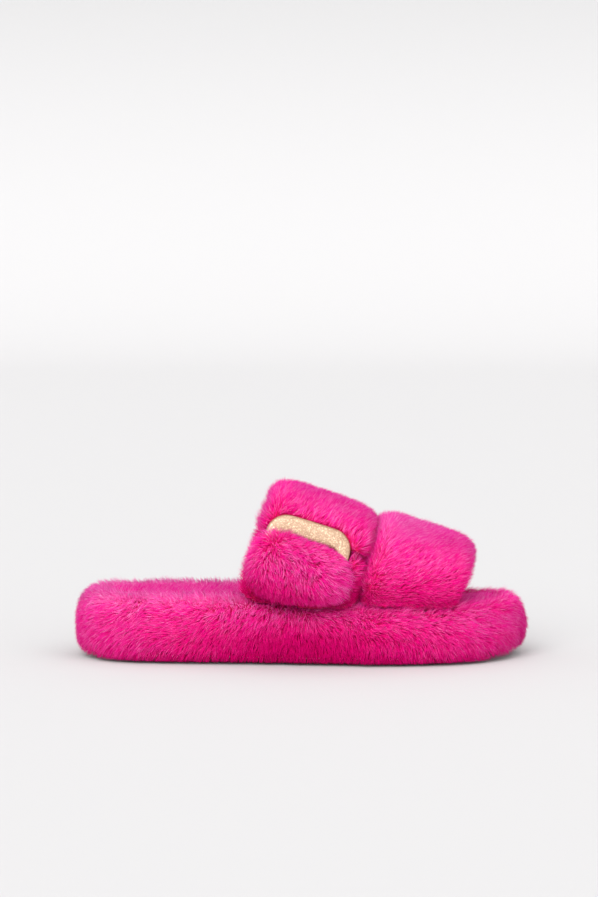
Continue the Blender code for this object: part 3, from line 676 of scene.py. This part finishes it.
def buckle_axes():
    """Middle of the frame and its directions along the foot, up the strap and outwards."""
    points = points_of(NODES["buckle_frame"].data)
    middle = (points.min(axis=0) + points.max(axis=0)) / 2
    along = Vector(JOINTS["buckle_tilt"]["axis"]).normalized()
    spread = points - points.mean(axis=0)
    values, vectors = np.linalg.eigh(spread.T @ spread)
    outwards = Vector(vectors[:, 0])
    if outwards.y > 0:
        outwards.negate()
    upwards = outwards.cross(along).normalized()
    if upwards.z < 0:
        upwards.negate()
    return np.array(middle), np.array(along), np.array(upwards), np.array(outwards)


MIDDLE, ALONG_FOOT, UP_STRAP, OUTWARDS = buckle_axes()


def in_buckle(points):
    """Points as distances along the foot, up the strap and outwards from the frame's middle."""
    away = points - MIDDLE
    return np.stack([away @ ALONG_FOOT, away @ UP_STRAP, away @ OUTWARDS], axis=1)


def frame_half_sizes():
    local = in_buckle(points_of(NODES["buckle_frame"].data))
    return (local.max(axis=0) - local.min(axis=0)) / 2


HALF = frame_half_sizes()


def clear_of_frame(roots, middles, ends):
    """Shortens the tufts that would come up through the frame and drops those under it."""
    def inside(points, margin):
        local = in_buckle(points)
        over = (np.abs(local[:, 0]) < HALF[0] + margin) & (np.abs(local[:, 1]) < HALF[1] + margin)
        corner = np.hypot(np.maximum(np.abs(local[:, 0]) - HALF[0] + FRAME_CORNER, 0),
                          np.maximum(np.abs(local[:, 1]) - HALF[1] + FRAME_CORNER, 0))
        return over & (corner < FRAME_CORNER + margin) & (local[:, 2] > -HALF[2] - 0.5 * MM)

    shorter = inside(ends, 0.3 * MM) | inside(middles, 0.3 * MM)
    middles = np.where(shorter[:, None], roots + (middles - roots) * CUT_SHARE, middles)
    ends = np.where(shorter[:, None], roots + (ends - roots) * CUT_SHARE, ends)
    kept = ~(inside(roots, 1.0 * MM) | inside(ends, 0.2 * MM) | inside(middles, 0.2 * MM))
    return roots[kept], middles[kept], ends[kept], kept


# ---------------------------------------------------------------- operators

class SlideOperator:
    """Runs an operator's build with the scene's settings."""
    bl_options = {"REGISTER", "UNDO"}

    def execute(self, context):
        self.build(context.scene.slide_pile, context.scene.slide_trim, context.scene.slide_stage)
        return {"FINISHED"}


def look(name, maker, *arguments):
    """The named material, made once."""
    found = bpy.data.materials.get(name)
    return found if found is not None else maker(*arguments)


def pile_look(pile):
    return look("plush_pile", pile_material, pile)


def backing_look(pile):
    return look("plush_backing", backing_material, pile)


def dress(node, surface):
    """Gives a CAD node its finish."""
    thing = NODES[node]
    if not thing.material_slots:
        thing.data.materials.append(surface)
    for place in thing.material_slots:
        place.material = surface


class SLIDE_OT_core(SlideOperator, bpy.types.Operator):
    """Finishes the outsole, midsole, board, foams and tapes"""
    bl_idname = "slide.core"
    bl_label = "Sole core"

    def build(self, pile, trim, stage):
        dress("outsole", rubber_material(trim))
        dress("midsole", foam_material("closed_cell_foam", trim.midsole, 0.8 * MM))
        dress("insole_board", board_material(trim))
        foam = foam_material("open_cell_foam", trim.foam, 1.2 * MM)
        for place in ("footbed", "front_strap", "instep_strap", "anchor", "tab"):
            dress(place + "_foam", foam)
        dress("buckle_loop", webbing_material(trim))
        dress("hook_pad", tape_material(trim, "hook_tape", 900.0, 0.5 * MM))
        dress("loop_pad", tape_material(trim, "loop_tape", 520.0, 0.7 * MM))
        dress("tab_neck", look("brushed_tricot", lining_material, trim))


class SLIDE_OT_linings(SlideOperator, bpy.types.Operator):
    """Adds the fabric linings of the straps and the tab"""
    bl_idname = "slide.linings"
    bl_label = "Linings"

    def build(self, pile, trim, stage):
        surface = look("brushed_tricot", lining_material, trim)
        for node, body in (("front_strap_lining", "slipper"), ("instep_strap_lining", "slipper"),
                           ("anchor_lining", "slipper"), ("tab_lining", "tab")):
            piece = copy_of_nodes(node.replace("lining", "lining_cloth"), [node])
            apply(piece, "BEVEL", width=0.4 * MM, segments=2, limit_method="ANGLE",
                  angle_limit=math.radians(50))
            finish_mesh(piece, surface)
            bpy.ops.object.shade_smooth_by_angle(angle=math.radians(40))
            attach(piece, body)
            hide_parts(node)


class SLIDE_OT_buckle(SlideOperator, bpy.types.Operator):
    """Adds the glitter buckle frame"""
    bl_idname = "slide.buckle"
    bl_label = "Buckle frame"

    def build(self, pile, trim, stage):
        piece = copy_of_nodes("glitter_frame", ["buckle_frame"])
        bpy.ops.object.mode_set(mode="EDIT")
        bpy.ops.mesh.select_all(action="SELECT")
        bpy.ops.mesh.tris_convert_to_quads(face_threshold=math.radians(40),
                                           shape_threshold=math.radians(60))
        bpy.ops.object.mode_set(mode="OBJECT")
        apply(piece, "SUBSURF", levels=2, render_levels=2)
        finish_mesh(piece, gold_material(trim))
        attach(piece, "buckle")
        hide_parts("buckle_frame")


class SLIDE_OT_sole(SlideOperator, bpy.types.Operator):
    """Adds the furry wrap round the sole"""
    bl_idname = "slide.sole"
    bl_label = "Sole wrap"

    def build(self, pile, trim, stage):
        pad = make_pad("side_wrap_cloth", ["side_wrap_fur"], backing_look(pile), shrink=2.4 * MM)
        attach(pad, "slipper")
        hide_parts("side_wrap_fur")

        def comb(roots, normals):
            """Down and away from the middle on the sides, towards the outer side on the rim."""
            x, z = roots[:, 0], roots[:, 2]
            towards = np.tanh((x + 8 * MM) / (70 * MM))
            rim = ramp(normals[:, 2], 0.15, 0.95)
            low = 1.0 - ramp(z, 4 * MM, 22 * MM)
            direction = np.zeros((len(roots), 3))
            direction[:, 0] = towards * (0.9 - 0.5 * low) + 0.2 * rim
            direction[:, 1] = -0.9 * rim
            direction[:, 2] = -0.35 - 0.75 * low - 0.5 * np.exp(-((x + 5 * MM) / (45 * MM)) ** 2)
            return direction

        def shape(roots):
            """Shorter at both ends and near the floor, longer on the rim beside the front strap."""
            x, z = roots[:, 0], roots[:, 2]
            ends = ramp(np.abs(x), 112 * MM, 132 * MM)
            low = 1.0 - ramp(z, 2 * MM, 9 * MM)
            under_strap = ramp(x, 0 * MM, 24 * MM) * (1 - ramp(x, 90 * MM, 112 * MM))
            beside = ramp(z, 26 * MM, 32 * MM) * under_strap
            return 1.0 - 0.32 * ends - 0.15 * low + 0.38 * beside

        def deep(roots):
            """Painted shade low on the middle of the sides and along the bottom, painted light on the
            rim's top.
            """
            x, z = roots[:, 0], roots[:, 2]
            middle = np.exp(-((x - 2 * MM) / (62 * MM)) ** 2)
            lower = (0.2 + 0.8 * middle) * (1 - ramp(z, 14 * MM, 34 * MM))
            return 0.9 * lower + 0.7 * (1 - ramp(z, 3 * MM, 12 * MM)) - 0.6 * ramp(z, 30 * MM, 37 * MM)

        grow("side_pile", pad, "slipper", pile_look(pile), pile, comb, pile.sole_length, lean=0.50,
             hidden_by=("midsole", "insole_board", "footbed_foam", "outsole"), spacing=2.8 * MM,
             pull=0.38, trim=above_floor, seed=100, shape=shape, deep=deep)


def above_floor(roots, middles, ends):
    """Keeps every tuft off the floor."""
    for points in (middles, ends):
        points[:, 2] = np.maximum(points[:, 2], FLOOR_GAP)
    kept = roots[:, 2] > FLOOR_GAP
    return roots[kept], middles[kept], ends[kept], kept


class SLIDE_OT_footbed(SlideOperator, bpy.types.Operator):
    """Adds the furry footbed"""
    bl_idname = "slide.footbed"
    bl_label = "Footbed"

    def build(self, pile, trim, stage):
        pad = make_pad("footbed_cloth", ["footbed_fur"], backing_look(pile), shrink=2.2 * MM)
        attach(pad, "slipper")
        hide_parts("footbed_fur")
        grow("footbed_pile", pad, "slipper", pile_look(pile), pile, steady(1.0, 0.0, 0.0),
             pile.footbed_length, density=0.85, lean=0.38, width=1.15, spacing=3.0 * MM, seed=200,
             keep=lambda roots, normals: normals[:, 2] > 0.2)


def foot_shape(roots):
    """Shorter pile where a strap runs down into the sole."""
    return 0.75 + 0.25 * ramp(roots[:, 2], 38 * MM, 52 * MM)


def foot_painted_shade(roots):
    """Painted shade where a strap runs down into the sole."""
    return 1.0 - ramp(roots[:, 2], 38 * MM, 66 * MM)


def above_rim(roots, normals):
    """Leaves out the part of a strap that is down inside the sole's rim."""
    return roots[:, 2] > RIM_TOP


class SLIDE_OT_front_strap(SlideOperator, bpy.types.Operator):
    """Adds the furry front strap"""
    bl_idname = "slide.front_strap"
    bl_label = "Front strap"

    def build(self, pile, trim, stage):
        pad = make_pad("front_strap_cloth", ["front_strap_fur", "front_strap_foam"], backing_look(pile),
                       shrink=1.8 * MM, held_by=("front_strap_lining",), voxel=3.2 * MM)
        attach(pad, "slipper")
        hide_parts("front_strap_fur", "front_strap_foam")
        grow("front_strap_pile", pad, "slipper", pile_look(pile), pile, steady(0.85, 0.0, 0.35),
             pile.strap_length, lean=0.42, hidden_by=("front_strap_lining",), spacing=2.6 * MM,
             pull=0.3, ruffle=0.25, seed=300, shape=foot_shape, keep=above_rim,
             # Painted shade low where the strap runs into the sole, painted light along its top.
             deep=lambda roots: 0.45 * foot_painted_shade(roots) - 0.4 * ramp(roots[:, 2], 66 * MM, 78 * MM))


class SLIDE_OT_instep_strap(SlideOperator, bpy.types.Operator):
    """Adds the furry instep strap and the short strap that holds the buckle"""
    bl_idname = "slide.instep_strap"
    bl_label = "Instep strap"

    def build(self, pile, trim, stage):
        for name, nodes, lining, seed in (
            ("instep_strap", ["instep_strap_fur", "instep_strap_foam"], "instep_strap_lining", 400),
            ("anchor", ["anchor_fur", "anchor_foam"], "anchor_lining", 500),
        ):
            pad = make_pad(name + "_cloth", nodes, backing_look(pile), shrink=1.8 * MM,
                           held_by=(lining,), voxel=3.2 * MM)
            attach(pad, "slipper")
            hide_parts(*nodes)
            grow(name + "_pile", pad, "slipper", pile_look(pile), pile, steady(0.55, 0.0, 0.25),
                 pile.strap_length, lean=0.30, hidden_by=(lining,), spacing=2.8 * MM, pull=0.3,
                 ruffle=0.3, trim=clear_of_frame, seed=seed, shape=foot_shape, keep=above_rim,
                 # Painted shade low where the straps run down into the sole.
                 deep=lambda roots: 0.8 * foot_painted_shade(roots))


def taper_towards_toe(pad):
    """Makes the tab's lower half less deep on the toe side."""
    share, start = 0.34, -15 * MM
    points = points_of(pad.data)
    local = in_buckle(points)
    change = np.maximum(start - local[:, 1], 0.0) * share * ramp(local[:, 0], -6 * MM, 28 * MM)
    set_points(pad.data, points + UP_STRAP * change[:, None])


class SLIDE_OT_tab(SlideOperator, bpy.types.Operator):
    """Adds the puffy free tab"""
    bl_idname = "slide.tab"
    bl_label = "Tab"

    def build(self, pile, trim, stage):
        pad = make_pad("tab_cloth", ["tab_fur", "tab_foam"], backing_look(pile), shrink=3.0 * MM,
                       held_by=("tab_lining",), pressure=4.0, cap=4.0 * MM)
        taper_towards_toe(pad)
        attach(pad, "tab")
        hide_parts("tab_fur", "tab_foam")
        source = MIDDLE + ALONG_FOOT * -18 * MM + UP_STRAP * 6 * MM + OUTWARDS * 14 * MM

        def comb(roots, normals):
            """Radiates from near the top corner on the heel side, towards the toe and down."""
            return unit(roots - source) * 0.9 + np.array([0.45, 0.0, -0.35])

        def shape(roots):
            """Longest on the heel side, short under the bar and at the lower corner on the toe side."""
            u, v = in_buckle(roots)[:, 0], in_buckle(roots)[:, 1]
            towards_toe = ramp(u, -12 * MM, 20 * MM)
            top = ramp(v, -9 * MM, 3 * MM) * (0.25 + 0.45 * towards_toe)
            bottom = (1 - ramp(v, -34 * MM, -17 * MM)) * (0.35 + 0.35 * towards_toe)
            return 1.1 - top - bottom

        grow("tab_pile", pad, "tab", pile_look(pile), pile, comb, pile.tab_length, lean=0.46,
             hidden_by=("tab_lining",), spacing=3.2 * MM, pull=0.45, ruffle=0.5, seed=600, shape=shape,
             # Painted shade on the lower part of the tab.
             deep=lambda roots: 0.6 * (1 - ramp(in_buckle(roots)[:, 1], -34 * MM, -16 * MM)),
             keep=lambda roots, normals: normals @ OUTWARDS > -0.45)


class SLIDE_OT_stage(SlideOperator, bpy.types.Operator):
    """Adds the floor, the lights and the camera"""
    bl_idname = "slide.stage"
    bl_label = "Stage"

    def build(self, pile, trim, stage):
        scene = bpy.context.scene
        scene.view_settings.view_transform = "Standard"
        bpy.ops.object.select_all(action="DESELECT")
        bpy.ops.mesh.primitive_plane_add(size=8.0, location=(0, 0, 0))
        sweep = bpy.context.object
        sweep.name = "sweep"
        bpy.ops.object.mode_set(mode="EDIT")
        shape = bmesh.from_edit_mesh(sweep.data)
        for part in list(shape.verts) + list(shape.edges) + list(shape.faces):
            part.select = False
        for edge in shape.edges:
            edge.select = all(vertex.co.y > 3.9 for vertex in edge.verts)
        shape.select_flush(True)
        bmesh.update_edit_mesh(sweep.data)
        bpy.ops.mesh.extrude_region_move(TRANSFORM_OT_translate={"value": (0, 0, 5)})
        bpy.ops.object.mode_set(mode="OBJECT")
        apply(sweep, "BEVEL", width=1.6, segments=24, limit_method="ANGLE",
              angle_limit=math.radians(40))
        sheet = Sheet("studio_paper", roughness=0.9)
        height = sheet.node("ShaderNodeSeparateXYZ", None, sheet.place(), output=2)
        shade = sheet.blend(height * 1.4, stage.ground, stage.backdrop)
        sweep.data.materials.append(sheet.out(Base_Color=shade))
        bpy.ops.object.shade_smooth()

        world = bpy.data.worlds.new("studio")
        world.use_nodes = True
        background = world.node_tree.nodes["Background"].inputs
        background["Color"].default_value = (1.0, 1.0, 1.0, 1.0)
        background["Strength"].default_value = stage.sky
        scene.world = world
        for name, tilt, turn, angle, strength in (("key", 58, -18, 40, stage.key),
                                                  ("fill", 62, 30, 60, stage.fill)):
            lamp = bpy.data.lights.new(name, "SUN")
            lamp.angle = math.radians(angle)
            lamp.energy = strength
            holder = bpy.data.objects.new(name, lamp)
            holder.rotation_euler = (math.radians(tilt), 0.0, math.radians(turn))
            scene.collection.objects.link(holder)

        camera = bpy.data.objects.new("camera", bpy.data.cameras.new("camera"))
        camera.data.lens = camera.data.sensor_width * stage.distance / stage.view_height
        target = Vector((-1.5 * MM, 8.5 * MM, stage.aim_height))
        away = Vector((0.0, -math.cos(stage.elevation), math.sin(stage.elevation)))
        camera.location = target + away * stage.distance
        camera.rotation_euler = (math.pi / 2 - stage.elevation, 0.0, 0.0)
        scene.collection.objects.link(camera)
        scene.camera = camera


class SLIDE_PT_panel(bpy.types.Panel):
    """Sizes, colours and pieces of the slide"""
    bl_idname = "SLIDE_PT_panel"
    bl_label = "Fluffy House Slide"
    bl_space_type = "VIEW_3D"
    bl_region_type = "UI"
    bl_category = "Slide"

    def draw(self, context):
        layout = self.layout
        for group in (context.scene.slide_pile, context.scene.slide_trim, context.scene.slide_stage):
            box = layout.box()
            for name in group.__annotations__:
                box.prop(group, name)
        for step in STEPS:
            layout.operator(step.bl_idname)


STEPS = (SLIDE_OT_stage, SLIDE_OT_core, SLIDE_OT_linings, SLIDE_OT_buckle, SLIDE_OT_sole,
         SLIDE_OT_footbed, SLIDE_OT_front_strap, SLIDE_OT_instep_strap, SLIDE_OT_tab)
CLASSES = (SlidePile, SlideTrim, SlideStage) + STEPS + (SLIDE_PT_panel,)


def register():
    for kind in CLASSES:
        bpy.utils.register_class(kind)
    bpy.types.Scene.slide_pile = PointerProperty(type=SlidePile)
    bpy.types.Scene.slide_trim = PointerProperty(type=SlideTrim)
    bpy.types.Scene.slide_stage = PointerProperty(type=SlideStage)


def unregister():
    del bpy.types.Scene.slide_stage
    del bpy.types.Scene.slide_trim
    del bpy.types.Scene.slide_pile
    for kind in reversed(CLASSES):
        bpy.utils.unregister_class(kind)


def main():
    register()
    for step in STEPS:
        group, name = step.bl_idname.split(".")
        getattr(getattr(bpy.ops, group), name)()


if __name__ == "__main__":
    main()
